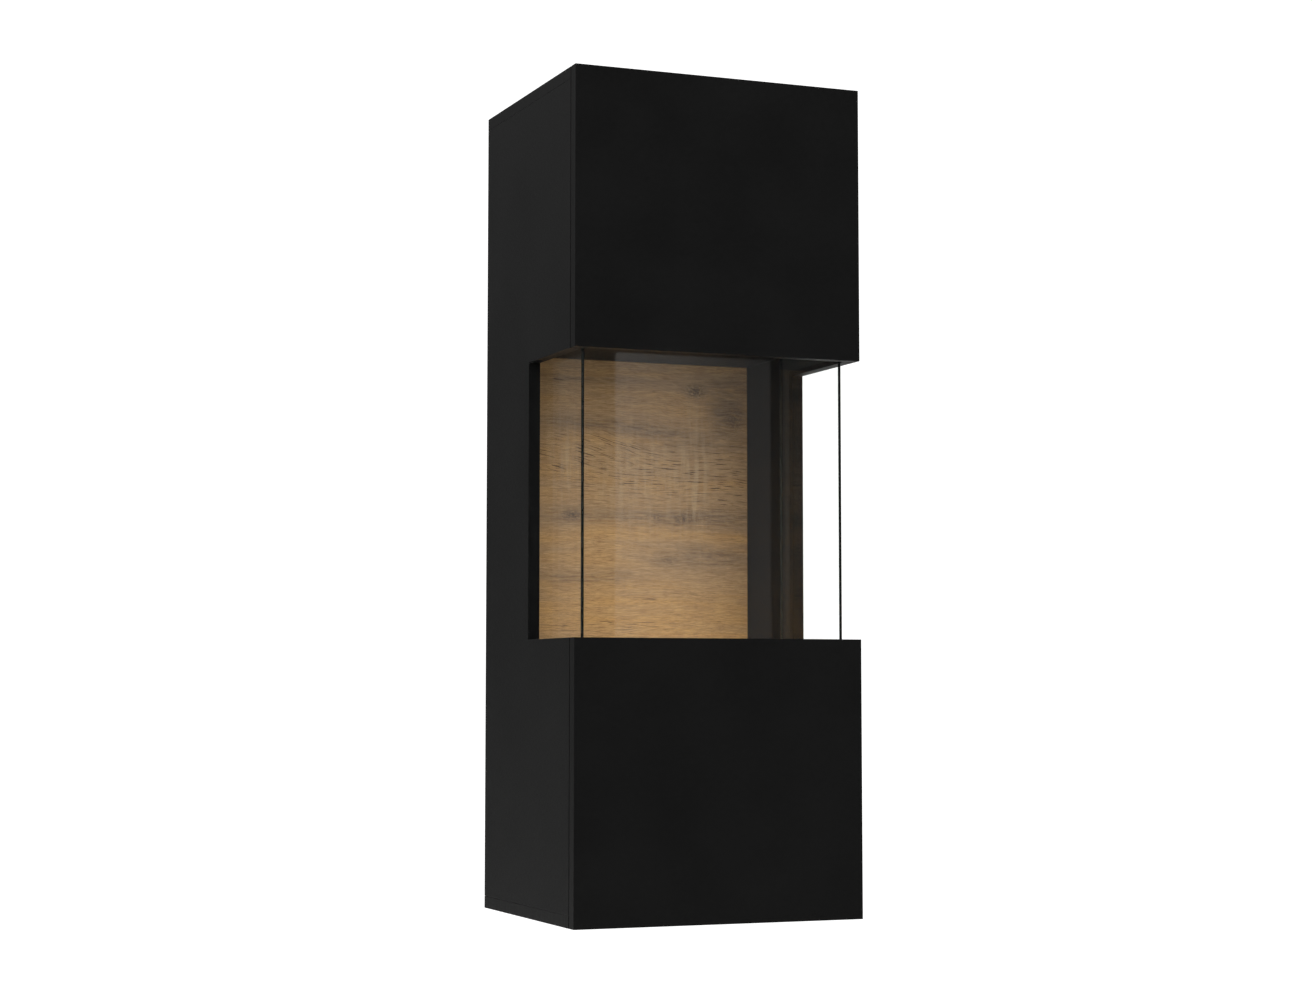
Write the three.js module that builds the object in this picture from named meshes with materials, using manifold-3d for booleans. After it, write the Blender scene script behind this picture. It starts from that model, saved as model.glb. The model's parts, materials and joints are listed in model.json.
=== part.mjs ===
// Wall-hung display cabinet. A black board carcass has a glazed niche across its middle, open to the
// light on three sides, and one door made of two black boards joined by a clear pane. The door swings
// on four concealed hinges on the right, push latches on the left spring it open, and two hangers
// hook the carcass onto a steel rail on the wall.
//
// Millimetres, +Z up, the door faces -Y. Inside the cabinet group x = 0 is the middle, y = 0 is the
// wall plane and z = 0 is the underside. The exported group puts the origin on the wall plane, at
// the middle of the rail's back face.

import * as THREE from "three";
import { mergeVertices } from "three/addons/utils/BufferGeometryUtils.js";
import Module from "manifold-3d";

const wasm = await Module();
wasm.setup();

// ---------------------------------------------------------------- driving dimensions

const WIDTH = 400;
const DEPTH = 350;
const HEIGHT = 1090;
const BOARD = 16; // thickness of every board
const PANE = 4; // thickness of every glass pane
const HARDBOARD = 3; // thickness of the back
const WINDOW = 366; // height of the glazed band between the two door boards
const LAP = 29; // how far each pane runs on behind the boards around the window
const DOOR_GAP = 2; // between the door and the carcass
const FIT = 0.3; // left between two pieces that touch
const TAPE = 0.4; // bonding tape between a pane and its board
const TAPE_WIDTH = 20;
const RAIL_Z = 1020; // height of the wall rail's middle
const CUP_SIDES = 28; // flats around a hinge cup and its bore
const ROD_SIDES = 14; // flats around pins, holes and other small round stock

// ---------------------------------------------------------------- derived planes

const HALF = WIDTH / 2;
const INNER = HALF - BOARD; // inner face of a side panel
const CLEAR = INNER - FIT; // where a piece between the side panels ends
const DOOR_FRONT = -DEPTH;
const DOOR_BACK = DOOR_FRONT + BOARD;
const CARCASS_FRONT = DOOR_BACK + DOOR_GAP;
const CUTOUT_BACK = -DEPTH / 2; // the side cut-outs end at half the depth
const WINDOW_LOW = (HEIGHT - WINDOW) / 2;
const WINDOW_HIGH = WINDOW_LOW + WINDOW;
const NICHE_LOW = WINDOW_LOW - LAP;
const NICHE_HIGH = WINDOW_HIGH + LAP;

const RAIL_DEPTH = 5; // the rail stands this far off the wall
const BACK_REAR = -(RAIL_DEPTH + 0.7);
const BACK_FRONT = BACK_REAR - HARDBOARD;
const GROOVE_DEPTH = 8; // the back sits this deep in the boards around it
const LINING_REAR = BACK_FRONT - FIT; // oak lining behind the niche
const LINING_FRONT = LINING_REAR - BOARD;
const DIVIDER_FRONT = CARCASS_FRONT + 6; // leaves the door pane its room

const DOOR_PANE_FRONT = DOOR_BACK + TAPE + 2 * FIT;
const DOOR_PANE_BACK = DOOR_PANE_FRONT + PANE;
const SIDE_PANE_OUTER = INNER - TAPE - 2 * FIT;
const SIDE_PANE_INNER = SIDE_PANE_OUTER - PANE;
const SIDE_PANE_FRONT = DOOR_PANE_BACK + 1;
const SIDE_PANE_BACK = CUTOUT_BACK + LAP + 2;
const DOOR_PANE_LEFT = -SIDE_PANE_OUTER + FIT;
const DOOR_PANE_RIGHT = SIDE_PANE_OUTER - 2.5; // further in, because this edge swings on the hinges

// ---------------------------------------------------------------- shape helpers

function toSolid(geometry) {
  const bare = geometry.clone();
  bare.deleteAttribute("normal");
  bare.deleteAttribute("uv");
  const merged = mergeVertices(bare, 1e-4);
  const vertProperties = Float32Array.from(merged.attributes.position.array);
  const triVerts = Uint32Array.from(merged.index.array);
  return new wasm.Manifold(new wasm.Mesh({ numProp: 3, vertProperties, triVerts }));
}

function toGeometry(solid) {
  const mesh = solid.getMesh();
  const geometry = new THREE.BufferGeometry();
  geometry.setAttribute("position", new THREE.BufferAttribute(mesh.vertProperties, 3));
  geometry.setIndex(new THREE.BufferAttribute(mesh.triVerts, 1));
  geometry.computeVertexNormals();
  return geometry;
}

const join = (...parts) => toGeometry(parts.map(toSolid).reduce((a, b) => a.add(b)));

const cut = (base, ...tools) =>
  toGeometry(tools.map(toSolid).reduce((a, b) => a.subtract(b), toSolid(base)));

// A box between two corners, each axis given as [low, high] in either order.
function block([x0, x1], [y0, y1], [z0, z1]) {
  const size = [x1 - x0, y1 - y0, z1 - z0].map(Math.abs);
  return new THREE.BoxGeometry(...size).translate((x0 + x1) / 2, (y0 + y1) / 2, (z0 + z1) / 2);
}

// A cylinder from y0 to y1 around the line (x, z).
function rodAlongY(radius, [y0, y1], x = 0, z = 0, segments = ROD_SIDES) {
  const rod = new THREE.CylinderGeometry(radius, radius, Math.abs(y1 - y0), segments);
  return rod.translate(x, (y0 + y1) / 2, z);
}

// A cylinder from z0 to z1 around the line (x, y).
function rodAlongZ(radius, [z0, z1], x = 0, y = 0) {
  const rod = new THREE.CylinderGeometry(radius, radius, Math.abs(z1 - z0), ROD_SIDES);
  return rod.rotateX(Math.PI / 2).translate(x, y, (z0 + z1) / 2);
}

// A cylinder from x0 to x1 around the line (y, z).
function rodAlongX(radius, [x0, x1], y = 0, z = 0) {
  const rod = new THREE.CylinderGeometry(radius, radius, Math.abs(x1 - x0), ROD_SIDES);
  return rod.rotateZ(Math.PI / 2).translate((x0 + x1) / 2, y, z);
}

// A turned solid around the Y axis, its outline given as [radius, y] from the axis to the axis.
function turned(outline, sides = ROD_SIDES) {
  return new THREE.LatheGeometry(outline.map(([r, y]) => new THREE.Vector2(r, y)), sides);
}

// An outline of [y, z] points, extruded along X between x0 and x1.
function extrudeAlongX(points, [x0, x1]) {
  const shape = new THREE.Shape(points.map(([y, z]) => new THREE.Vector2(y, z)));
  const low = Math.min(x0, x1);
  const solid = new THREE.ExtrudeGeometry(shape, { depth: Math.abs(x1 - x0), bevelEnabled: false });
  const yzx = new THREE.Matrix4().makeBasis(
    new THREE.Vector3(0, 1, 0),
    new THREE.Vector3(0, 0, 1),
    new THREE.Vector3(1, 0, 0),
  );
  return solid.applyMatrix4(yzx).translate(low, 0, 0);
}

// ---------------------------------------------------------------- materials

const finish = (color, roughness, metalness = 0, extra = {}) =>
  new THREE.MeshStandardMaterial({ color, roughness, metalness, ...extra });

const blackBoard = () => finish(0x161616, 0.55);
const oakDecor = () => finish(0x9a7a4c, 0.6);
const hardboard = () => finish(0x1d1c1b, 0.8);
const clearGlass = () => finish(0xdfe6e4, 0.03, 0, { transparent: true, opacity: 0.2 });
const nickelSteel = () => finish(0xb9bbbc, 0.3, 1);
const zincSteel = () => finish(0x9fa3a5, 0.45, 1);
const greyPlastic = () => finish(0x3a3b3c, 0.5);
const clearRubber = () => finish(0xc9cbc8, 0.6, 0, { transparent: true, opacity: 0.7 });
const blackTape = () => finish(0x0b0b0b, 0.9);

function piece(name, geometry, material) {
  const mesh = new THREE.Mesh(geometry, material);
  mesh.name = name;
  return mesh;
}

function assembly(pieces, [x, y, z] = [0, 0, 0]) {
  const group = new THREE.Group();
  group.add(...pieces);
  group.position.set(x, y, z);
  return group;
}

const SIDES = [
  ["left", -1],
  ["right", 1],
];

// ---------------------------------------------------------------- carcass

// A side panel is one board from bottom to top panel, with a cut-out open to the front.
function sidePanel(side) {
  const bottom = BOARD + FIT;
  const top = HEIGHT - BOARD - FIT;
  const outline = [
    [0, bottom],
    [0, top],
    [CARCASS_FRONT, top],
    [CARCASS_FRONT, WINDOW_HIGH],
    [CUTOUT_BACK, WINDOW_HIGH],
    [CUTOUT_BACK, WINDOW_LOW],
    [CARCASS_FRONT, WINDOW_LOW],
    [CARCASS_FRONT, bottom],
  ];
  const board = extrudeAlongX(outline, [side * INNER, side * HALF]);
  const groove = block(
    [side * (INNER - 1), side * (INNER + GROOVE_DEPTH)],
    [BACK_FRONT - FIT, BACK_REAR + FIT],
    [0, HEIGHT],
  );
  return cut(board, groove);
}

// The top and bottom panels run over the ends of the side panels, grooved inside for the back.
function capPanel(outerZ, innerZ) {
  const board = block([-HALF, HALF], [CARCASS_FRONT, 0], [outerZ, innerZ]);
  const inward = Math.sign(innerZ - outerZ);
  const groove = block(
    [-INNER - GROOVE_DEPTH, INNER + GROOVE_DEPTH],
    [BACK_FRONT - FIT, BACK_REAR + FIT],
    [innerZ + inward, innerZ - inward * GROOVE_DEPTH],
  );
  return cut(board, groove);
}

function divider(lowZ) {
  return block([-CLEAR, CLEAR], [DIVIDER_FRONT, BACK_FRONT - 2 * FIT], [lowZ, lowZ + BOARD]);
}

// A window in the back for a hanger hook.
const HOOK_WINDOW_INSET = [2, 18]; // its sides, in from the side panel's inner face
const HOOK_WINDOW_RISE = [12, 38]; // its bottom and top, above the wall rail's middle

// The hardboard back, with a window in each top corner.
function backBoard() {
  const reach = GROOVE_DEPTH - 2 * FIT;
  const board = block(
    [-INNER - reach, INNER + reach],
    [BACK_FRONT, BACK_REAR],
    [BOARD - reach, HEIGHT - BOARD + reach],
  );
  const windows = SIDES.map(([, side]) =>
    block(
      HOOK_WINDOW_INSET.map((inset) => side * (INNER - inset)),
      [0, -DEPTH],
      HOOK_WINDOW_RISE.map((rise) => RAIL_Z + rise),
    ),
  );
  return cut(board, ...windows);
}

function carcassPanels() {
  const lining = block(
    [-CLEAR, CLEAR],
    [LINING_FRONT, LINING_REAR],
    [NICHE_LOW + FIT, NICHE_HIGH - FIT],
  );
  return assembly([
    ...SIDES.map(([name, side]) => piece(`${name}_side_panel`, sidePanel(side), blackBoard())),
    piece("top_panel", capPanel(HEIGHT, HEIGHT - BOARD), blackBoard()),
    piece("bottom_panel", capPanel(0, BOARD), blackBoard()),
    piece("upper_divider", divider(NICHE_HIGH), blackBoard()),
    piece("lower_divider", divider(NICHE_LOW - BOARD), blackBoard()),
    piece("niche_back_panel", lining, oakDecor()),
    piece("back_board", backBoard(), hardboard()),
  ]);
}

// ---------------------------------------------------------------- side glazing

function sidePane(side) {
  return block(
    [side * SIDE_PANE_OUTER, side * SIDE_PANE_INNER],
    [SIDE_PANE_FRONT, SIDE_PANE_BACK],
    [NICHE_LOW + FIT, NICHE_HIGH - FIT],
  );
}

// The tape that bonds a side pane runs round the three covered edges of the cut-out.
function sideTape(side) {
  const margin = 2;
  const low = NICHE_LOW + margin;
  const high = NICHE_HIGH - margin;
  const back = SIDE_PANE_BACK - margin;
  const outline = [
    [SIDE_PANE_FRONT, low],
    [back, low],
    [back, high],
    [SIDE_PANE_FRONT, high],
    [SIDE_PANE_FRONT, high - TAPE_WIDTH],
    [back - TAPE_WIDTH, high - TAPE_WIDTH],
    [back - TAPE_WIDTH, low + TAPE_WIDTH],
    [SIDE_PANE_FRONT, low + TAPE_WIDTH],
  ];
  return extrudeAlongX(outline, [side * (INNER - FIT), side * (INNER - FIT - TAPE)]);
}

function sideGlazing() {
  return assembly(
    SIDES.flatMap(([name, side]) => [
      piece(`${name}_side_glass`, sidePane(side), clearGlass()),
      piece(`${name}_glass_tape`, sideTape(side), blackTape()),
    ]),
  );
}

// ---------------------------------------------------------------- concealed hinges

// Seen from above a hinge is a chain: the arm on the side panel carries the link at ARM_PIVOT, and
// the link carries the door's cup at CUP_PIVOT. While the door turns about CUP_PIVOT the link turns
// back a quarter as far about ARM_PIVOT, which moves the door forward clear of the side panel.
const CUP_RADIUS = 17.5;
const CUP_CENTRE = HALF - 5 - CUP_RADIUS;
const CUP_DEPTH = 12.2;
const CUP_WALL = 1;
const WING_HALF_WIDTH = 9; // the cup's wings, each with one screw
const WING_HALF_HEIGHT = 31;
const WING_SCREW = 24; // from the hinge's middle to each wing screw
const SCREW_HOLE = 2.2; // radius of the holes for fixing screws
const ARM_PIVOT = new THREE.Vector2(172, -327);
const CUP_PIVOT = new THREE.Vector2(190.4, -338.8);
const PIN_RADIUS = 1.2;
const EYE_RADIUS = 2.4;
const LINK_HALF_HEIGHT = 4.5;
const LINK_THICKNESS = 1.6;
const LINK_RISE = 9; // how far the link's bow stands off the line between its pivots
const CHEEK = 1.5; // sheet thickness of the arm
const CHEEK_INNER = LINK_HALF_HEIGHT + FIT;
const CHEEK_OUTER = CHEEK_INNER + CHEEK;
const ARM_FACE = 164; // the arm's face towards the middle of the cabinet
const ARM_EDGE = 179; // the open edge of the arm's channel
const ARM_NOSE = ARM_PIVOT.y + 3; // where the channel ends and its cheeks run on to the pin
const ARM_TAIL = -258;
const ADJUSTER_Y = [-300, -276]; // holes in the arm's face for the adjusting screws
const ADJUSTER_HOLE = 2.6;
const PLATE_SCREW = 16; // from the hinge's middle to each of the mounting plate's screws
const PLATE_Y = CARCASS_FRONT + 37; // the usual row of screws behind a cabinet's front edge
const HINGE_HEIGHTS = [
  ["hinge_bottom", 70],
  ["hinge_lower", WINDOW_LOW - 100],
  ["hinge_upper", WINDOW_HIGH + 100],
  ["hinge_top", HEIGHT - 70],
];

// The cup: a turned bowl sunk in the door, a wing plate on the door's back, and the pivot pin.
function hingeCup() {
  const outer = CUP_RADIUS - FIT;
  const inner = outer - CUP_WALL;
  const floor = DOOR_BACK - CUP_DEPTH + FIT;
  const lip = DOOR_BACK + 1;
  const profile = [
    [0, floor],
    [outer, floor],
    [outer, lip],
    [inner, lip],
    [inner, floor + CUP_WALL],
    [0, floor + CUP_WALL],
  ];
  const bowl = turned(profile, CUP_SIDES).translate(CUP_CENTRE, 0, 0);
  const wings = cut(
    block(
      [CUP_CENTRE - WING_HALF_WIDTH, CUP_CENTRE + WING_HALF_WIDTH],
      [DOOR_BACK + FIT, DOOR_BACK + FIT + CUP_WALL],
      [-WING_HALF_HEIGHT, WING_HALF_HEIGHT],
    ),
    rodAlongY(inner, [DOOR_FRONT, CARCASS_FRONT], CUP_CENTRE, 0, CUP_SIDES),
    ...[-WING_SCREW, WING_SCREW].map((z) =>
      rodAlongY(SCREW_HOLE, [DOOR_FRONT, CARCASS_FRONT], CUP_CENTRE, z),
    ),
  );
  const pinReach = CUP_PIVOT.x + PIN_RADIUS - CUP_CENTRE;
  const chord = Math.sqrt((outer - FIT) ** 2 - pinReach ** 2);
  const pin = rodAlongZ(PIN_RADIUS, [-chord, chord], CUP_PIVOT.x, CUP_PIVOT.y);
  return join(bowl, wings, pin);
}

// The link: a bowed strip with an eye round each pin. The bow lies inside the cup when the door is
// shut and arches over the cup's rim when it is open.
function hingeLink() {
  const chord = ARM_PIVOT.clone().sub(CUP_PIVOT);
  const half = chord.length() / 2;
  const radius = (half ** 2 + LINK_RISE ** 2) / (2 * LINK_RISE);
  const bowSide = new THREE.Vector2(-chord.y, chord.x).normalize();
  const middle = CUP_PIVOT.clone().addScaledVector(chord, 0.5);
  const centre = middle.addScaledVector(bowSide, LINK_RISE - radius);
  const angleTo = (point) => Math.atan2(point.y - centre.y, point.x - centre.x);
  const start = angleTo(ARM_PIVOT);
  const end = angleTo(CUP_PIVOT) + 2 * Math.PI;
  const strip = new THREE.Shape();
  strip.absarc(centre.x, centre.y, radius + LINK_THICKNESS / 2, start, end, false);
  strip.absarc(centre.x, centre.y, radius - LINK_THICKNESS / 2, end, start, true);
  const height = 2 * LINK_HALF_HEIGHT;
  const bow = new THREE.ExtrudeGeometry(strip, {
    depth: height,
    bevelEnabled: false,
    curveSegments: 12,
  }).translate(0, 0, -LINK_HALF_HEIGHT);
  const span = [-LINK_HALF_HEIGHT, LINK_HALF_HEIGHT];
  const longSpan = [-height, height];
  const pivots = [ARM_PIVOT, CUP_PIVOT];
  const eyes = pivots.map((p) => rodAlongZ(EYE_RADIUS, span, p.x, p.y));
  const bores = pivots.map((p) => rodAlongZ(PIN_RADIUS + FIT, longSpan, p.x, p.y));
  return cut(join(bow, ...eyes), ...bores);
}

// The arm: a sheet channel open towards the side panel, whose cheeks hold the pin at its nose.
function hingeArm() {
  const body = cut(
    block([ARM_FACE, ARM_EDGE], [ARM_NOSE, ARM_TAIL], [-CHEEK_OUTER, CHEEK_OUTER]),
    block([ARM_FACE + CHEEK, ARM_EDGE + 1], [-DEPTH, 0], [-CHEEK_INNER, CHEEK_INNER]),
    ...ADJUSTER_Y.map((y) => rodAlongX(ADJUSTER_HOLE, [ARM_FACE - 1, ARM_FACE + 3], y)),
  );
  const noseRadius = 4;
  const cheeks = [-1, 1].flatMap((end) => {
    const span = [end * CHEEK_INNER, end * CHEEK_OUTER];
    const x = [ARM_PIVOT.x - noseRadius, ARM_PIVOT.x + noseRadius];
    return [
      block(x, [ARM_PIVOT.y, ARM_NOSE + 1], span),
      rodAlongZ(noseRadius, span, ARM_PIVOT.x, ARM_PIVOT.y),
    ];
  });
  const middleOfCheek = CHEEK_INNER + CHEEK / 2;
  const pin = rodAlongZ(PIN_RADIUS, [-middleOfCheek, middleOfCheek], ARM_PIVOT.x, ARM_PIVOT.y);
  return join(body, ...cheeks, pin);
}

// The mounting plate: a cross wing screwed to the side panel and a spine inside the arm.
function hingePlate() {
  const spineHalf = CHEEK_INNER - FIT;
  const footHalf = CHEEK_OUTER + 2;
  const rear = ARM_TAIL - 4;
  const wing = block([CLEAR - 3, CLEAR], [PLATE_Y - 8, PLATE_Y + 8], [-24, 24]);
  const spine = block([ARM_FACE + 9, CLEAR - 2.5], [rear - 50, rear], [-spineHalf, spineHalf]);
  const foot = block([ARM_EDGE + FIT, CLEAR], [rear - 54, rear], [-footHalf, footHalf]);
  const holes = [-PLATE_SCREW, PLATE_SCREW].map((z) =>
    rodAlongX(SCREW_HOLE, [CLEAR - 6, CLEAR + 6], PLATE_Y, z),
  );
  return cut(join(wing, foot, spine), ...holes);
}

function hinges() {
  return assembly(
    HINGE_HEIGHTS.map(([name, z]) =>
      assembly(
        [
          piece(`${name}_cup`, hingeCup(), nickelSteel()),
          piece(`${name}_link`, hingeLink(), nickelSteel()),
          piece(`${name}_arm`, hingeArm(), nickelSteel()),
          piece(`${name}_plate`, hingePlate(), nickelSteel()),
        ],
        [0, 0, z],
      ),
    ),
  );
}

// ---------------------------------------------------------------- door

// A door board, bored from behind for the hinge cups that fall within it.
function doorBoard(low, high) {
  const board = block([-HALF, HALF], [DOOR_FRONT, DOOR_BACK], [low, high]);
  const bores = HINGE_HEIGHTS.filter(([, z]) => z > low && z < high).map(([, z]) =>
    rodAlongY(CUP_RADIUS, [DOOR_BACK - CUP_DEPTH, DOOR_BACK + 1], CUP_CENTRE, z, CUP_SIDES),
  );
  return cut(board, ...bores);
}

function doorTape(low, high) {
  const margin = 2;
  const front = DOOR_BACK + FIT;
  const x = [DOOR_PANE_LEFT + margin, DOOR_PANE_RIGHT - margin];
  return block(x, [front, front + TAPE], [low, high]);
}

function door() {
  const pane = block(
    [DOOR_PANE_LEFT, DOOR_PANE_RIGHT],
    [DOOR_PANE_FRONT, DOOR_PANE_BACK],
    [NICHE_LOW, NICHE_HIGH],
  );
  const inset = 5; // between the window's edge and the tape
  const upperTape = doorTape(WINDOW_HIGH + inset, WINDOW_HIGH + inset + TAPE_WIDTH);
  const lowerTape = doorTape(WINDOW_LOW - inset - TAPE_WIDTH, WINDOW_LOW - inset);
  return assembly([
    piece("door_upper_panel", doorBoard(WINDOW_HIGH, HEIGHT), blackBoard()),
    piece("door_lower_panel", doorBoard(0, WINDOW_LOW), blackBoard()),
    piece("door_glass", pane, clearGlass()),
    piece("door_upper_glass_tape", upperTape, blackTape()),
    piece("door_lower_glass_tape", lowerTape, blackTape()),
  ]);
}

// ---------------------------------------------------------------- push latches

const LATCH_WIDTH = 18;
const LATCH_X = -CLEAR + LATCH_WIDTH / 2;
const LATCH_FRONT = CARCASS_FRONT + 3;
const LATCH_LENGTH = 75;
const LATCH_HALF_HEIGHT = 11;
const LATCH_BORE = 5.3;
const BORE_END = LATCH_FRONT + LATCH_LENGTH - 4;
const STRIKE_THICKNESS = 1.3;
const STRIKE_BACK = DOOR_BACK + FIT + STRIKE_THICKNESS;
const STEM_END = LATCH_FRONT + 44;
const EAR_THICKNESS = 3; // the ears by which the housing is screwed to the side panel
const EAR_Y = LATCH_FRONT + 34;
const EAR_HALF_LENGTH = 9;
const EAR_HALF_HEIGHT = 21;
const EAR_SCREW = 16; // from the latch's middle to each screw
const LATCH_HEIGHTS = [
  ["latch_lower", NICHE_LOW / 2],
  ["latch_upper", HEIGHT - NICHE_LOW / 2],
];

function latchHousing() {
  const barrelX = [-CLEAR, -CLEAR + LATCH_WIDTH];
  const barrelY = [LATCH_FRONT, LATCH_FRONT + LATCH_LENGTH];
  const barrel = block(barrelX, barrelY, [-LATCH_HALF_HEIGHT, LATCH_HALF_HEIGHT]);
  const ears = block(
    [-CLEAR, -CLEAR + EAR_THICKNESS],
    [EAR_Y - EAR_HALF_LENGTH, EAR_Y + EAR_HALF_LENGTH],
    [-EAR_HALF_HEIGHT, EAR_HALF_HEIGHT],
  );
  const screwHoles = [-EAR_SCREW, EAR_SCREW].map((z) =>
    rodAlongX(2, [-CLEAR - 6, -CLEAR + 6], EAR_Y, z),
  );
  const bore = rodAlongY(LATCH_BORE, [LATCH_FRONT - 1, BORE_END], LATCH_X);
  return cut(join(barrel, ears), bore, ...screwHoles);
}

// The plunger is turned: a soft-edged tip, a stem that runs in the bore, and a pin for the spring.
function latchPlunger() {
  const tip = STRIKE_BACK + FIT;
  const profile = [
    [0, tip],
    [4, tip],
    [4.8, tip + 0.8],
    [4.8, tip + 2],
    [LATCH_BORE - FIT, tip + 2.4],
    [LATCH_BORE - FIT, STEM_END],
    [2.2, STEM_END],
    [2.2, BORE_END - 4],
    [0, BORE_END - 4],
  ];
  return turned(profile).translate(LATCH_X, 0, 0);
}

// The spring pushes the stem from the end of the bore.
class Helix extends THREE.Curve {
  constructor(radius, turns, start, end) {
    super();
    Object.assign(this, { radius, turns, start, end });
  }

  getPoint(t, target = new THREE.Vector3()) {
    const angle = 2 * Math.PI * this.turns * t;
    const y = THREE.MathUtils.lerp(this.start, this.end, t);
    return target.set(this.radius * Math.cos(angle), y, this.radius * Math.sin(angle));
  }
}

function latchSpring() {
  const wire = 0.5;
  const turns = 6;
  const path = new Helix(3.6, turns, STEM_END + 2 * wire, BORE_END - 2 * wire);
  const section = new THREE.Shape().absarc(0, 0, wire, 0, 2 * Math.PI, false);
  const options = { extrudePath: path, steps: turns * 9, curveSegments: 3, bevelEnabled: false };
  return new THREE.ExtrudeGeometry(section, options).translate(LATCH_X, 0, 0);
}

// A countersunk steel disc on the door, where the plunger meets it.
function strikeDisc() {
  const profile = [
    [0, DOOR_BACK + FIT],
    [8, DOOR_BACK + FIT],
    [8, STRIKE_BACK - 0.4],
    [7.6, STRIKE_BACK],
    [2.4, STRIKE_BACK],
    [1.2, STRIKE_BACK - 0.8],
    [0, STRIKE_BACK - 0.8],
  ];
  return turned(profile, CUP_SIDES).translate(LATCH_X, 0, 0);
}

function latches() {
  return assembly(
    LATCH_HEIGHTS.map(([name, z]) =>
      assembly(
        [
          piece(`${name}_housing`, latchHousing(), greyPlastic()),
          piece(`${name}_plunger`, latchPlunger(), greyPlastic()),
          piece(`${name}_spring`, latchSpring(), zincSteel()),
          piece(`${name}_strike`, strikeDisc(), zincSteel()),
        ],
        [0, 0, z],
      ),
    ),
  );
}

// Soft domes on the back of the door meet the front edge of the left side panel.
function doorBumper() {
  const base = DOOR_BACK + FIT;
  const crown = CARCASS_FRONT - FIT;
  const profile = [
    [0, base],
    [4, base],
    [3.9, base + 0.6],
    [3.2, crown - 0.2],
    [2, crown],
    [0, crown],
  ];
  return turned(profile);
}

function doorBumpers() {
  const inset = 40;
  const heights = [inset, WINDOW_LOW - inset, WINDOW_HIGH + inset, HEIGHT - inset];
  const x = -HALF + BOARD / 2;
  return assembly(
    heights.map((z, i) => {
      const dome = piece(`door_bumper_${i + 1}`, doorBumper(), clearRubber());
      dome.position.set(x, 0, z);
      return dome;
    }),
  );
}

// ---------------------------------------------------------------- hangers and wall rail

const HOOK_TRAVEL = 8;
const HOOK_WIDTH = 12;
const HOOK_SHEET = 2.5;
const RAIL_SHEET = 1.5;
const RAIL_FOOT = 11; // the rail's flat foot reaches this far above and below its middle
const RAIL_TOP = 24;
const WALL_SCREWS_X = [-150, -60, 60, 150];
const HANGER_WIDTH = 17;
const HANGER_FRONT = -60;
const HANGER_LOW = -14;
const HANGER_HIGH = 42;
const HANGER_SCREWS = [
  ["clamp", -4],
  ["height", 12],
];

// The rail: a flat foot on the wall and a raised lip that the hooks drop behind.
function wallRail() {
  const step = RAIL_DEPTH - RAIL_SHEET;
  const diagonal = RAIL_SHEET * (Math.SQRT2 - 1);
  const outline = [
    [0, -RAIL_FOOT],
    [0, RAIL_FOOT],
    [-step, RAIL_FOOT + step],
    [-step, RAIL_TOP],
    [-RAIL_DEPTH, RAIL_TOP],
    [-RAIL_DEPTH, RAIL_FOOT + step - diagonal],
    [-RAIL_SHEET, RAIL_FOOT - diagonal],
    [-RAIL_SHEET, -RAIL_FOOT],
  ];
  const length = 2 * INNER - 8;
  const strip = extrudeAlongX(outline, [-length / 2, length / 2]);
  const slots = WALL_SCREWS_X.map((x) => wallScrewSlot(x));
  return cut(strip, ...slots);
}

function wallScrewSlot(x) {
  const radius = 2.75;
  const reach = 4;
  const slot = new THREE.Shape();
  slot.absarc(reach, 0, radius, -Math.PI / 2, Math.PI / 2, false);
  slot.absarc(-reach, 0, radius, Math.PI / 2, (3 * Math.PI) / 2, false);
  const options = { depth: 4 * RAIL_DEPTH, bevelEnabled: false, curveSegments: 8 };
  const solid = new THREE.ExtrudeGeometry(slot, options).rotateX(Math.PI / 2);
  return solid.translate(x, 2 * RAIL_DEPTH, 0);
}

// The hook: a flat bar out of the housing and through the back, and a tongue behind the rail's lip.
const HOOK_FRONT = -45;

function hangerHook(side) {
  const low = RAIL_TOP + FIT;
  const lipBack = -(RAIL_DEPTH - RAIL_SHEET) + FIT;
  const outline = [
    [HOOK_FRONT, low],
    [lipBack, low],
    [lipBack, low - 8],
    [lipBack + RAIL_SHEET, low - 8],
    [lipBack + RAIL_SHEET, low + HOOK_SHEET],
    [HOOK_FRONT, low + HOOK_SHEET],
  ];
  const x = side * (CLEAR - HANGER_WIDTH / 2);
  return extrudeAlongX(outline, [x - HOOK_WIDTH / 2, x + HOOK_WIDTH / 2]);
}

function hangerHousing(side) {
  const outer = side * CLEAR;
  const inner = side * (CLEAR - HANGER_WIDTH);
  const middle = (outer + inner) / 2;
  const rear = BACK_FRONT - 2 * FIT;
  const box = block([outer, inner], [HANGER_FRONT, rear], [HANGER_LOW, HANGER_HIGH]);
  const slot = block(
    [middle - HOOK_WIDTH / 2 - FIT, middle + HOOK_WIDTH / 2 + FIT],
    [HOOK_FRONT - 1, 0],
    [RAIL_TOP, RAIL_TOP + HOOK_SHEET + HOOK_TRAVEL + 2 * FIT],
  );
  const bores = HANGER_SCREWS.map(([, z]) =>
    rodAlongY(3.2, [HANGER_FRONT - 1, HANGER_FRONT + 13], middle, z),
  );
  return cut(box, slot, ...bores);
}

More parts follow.
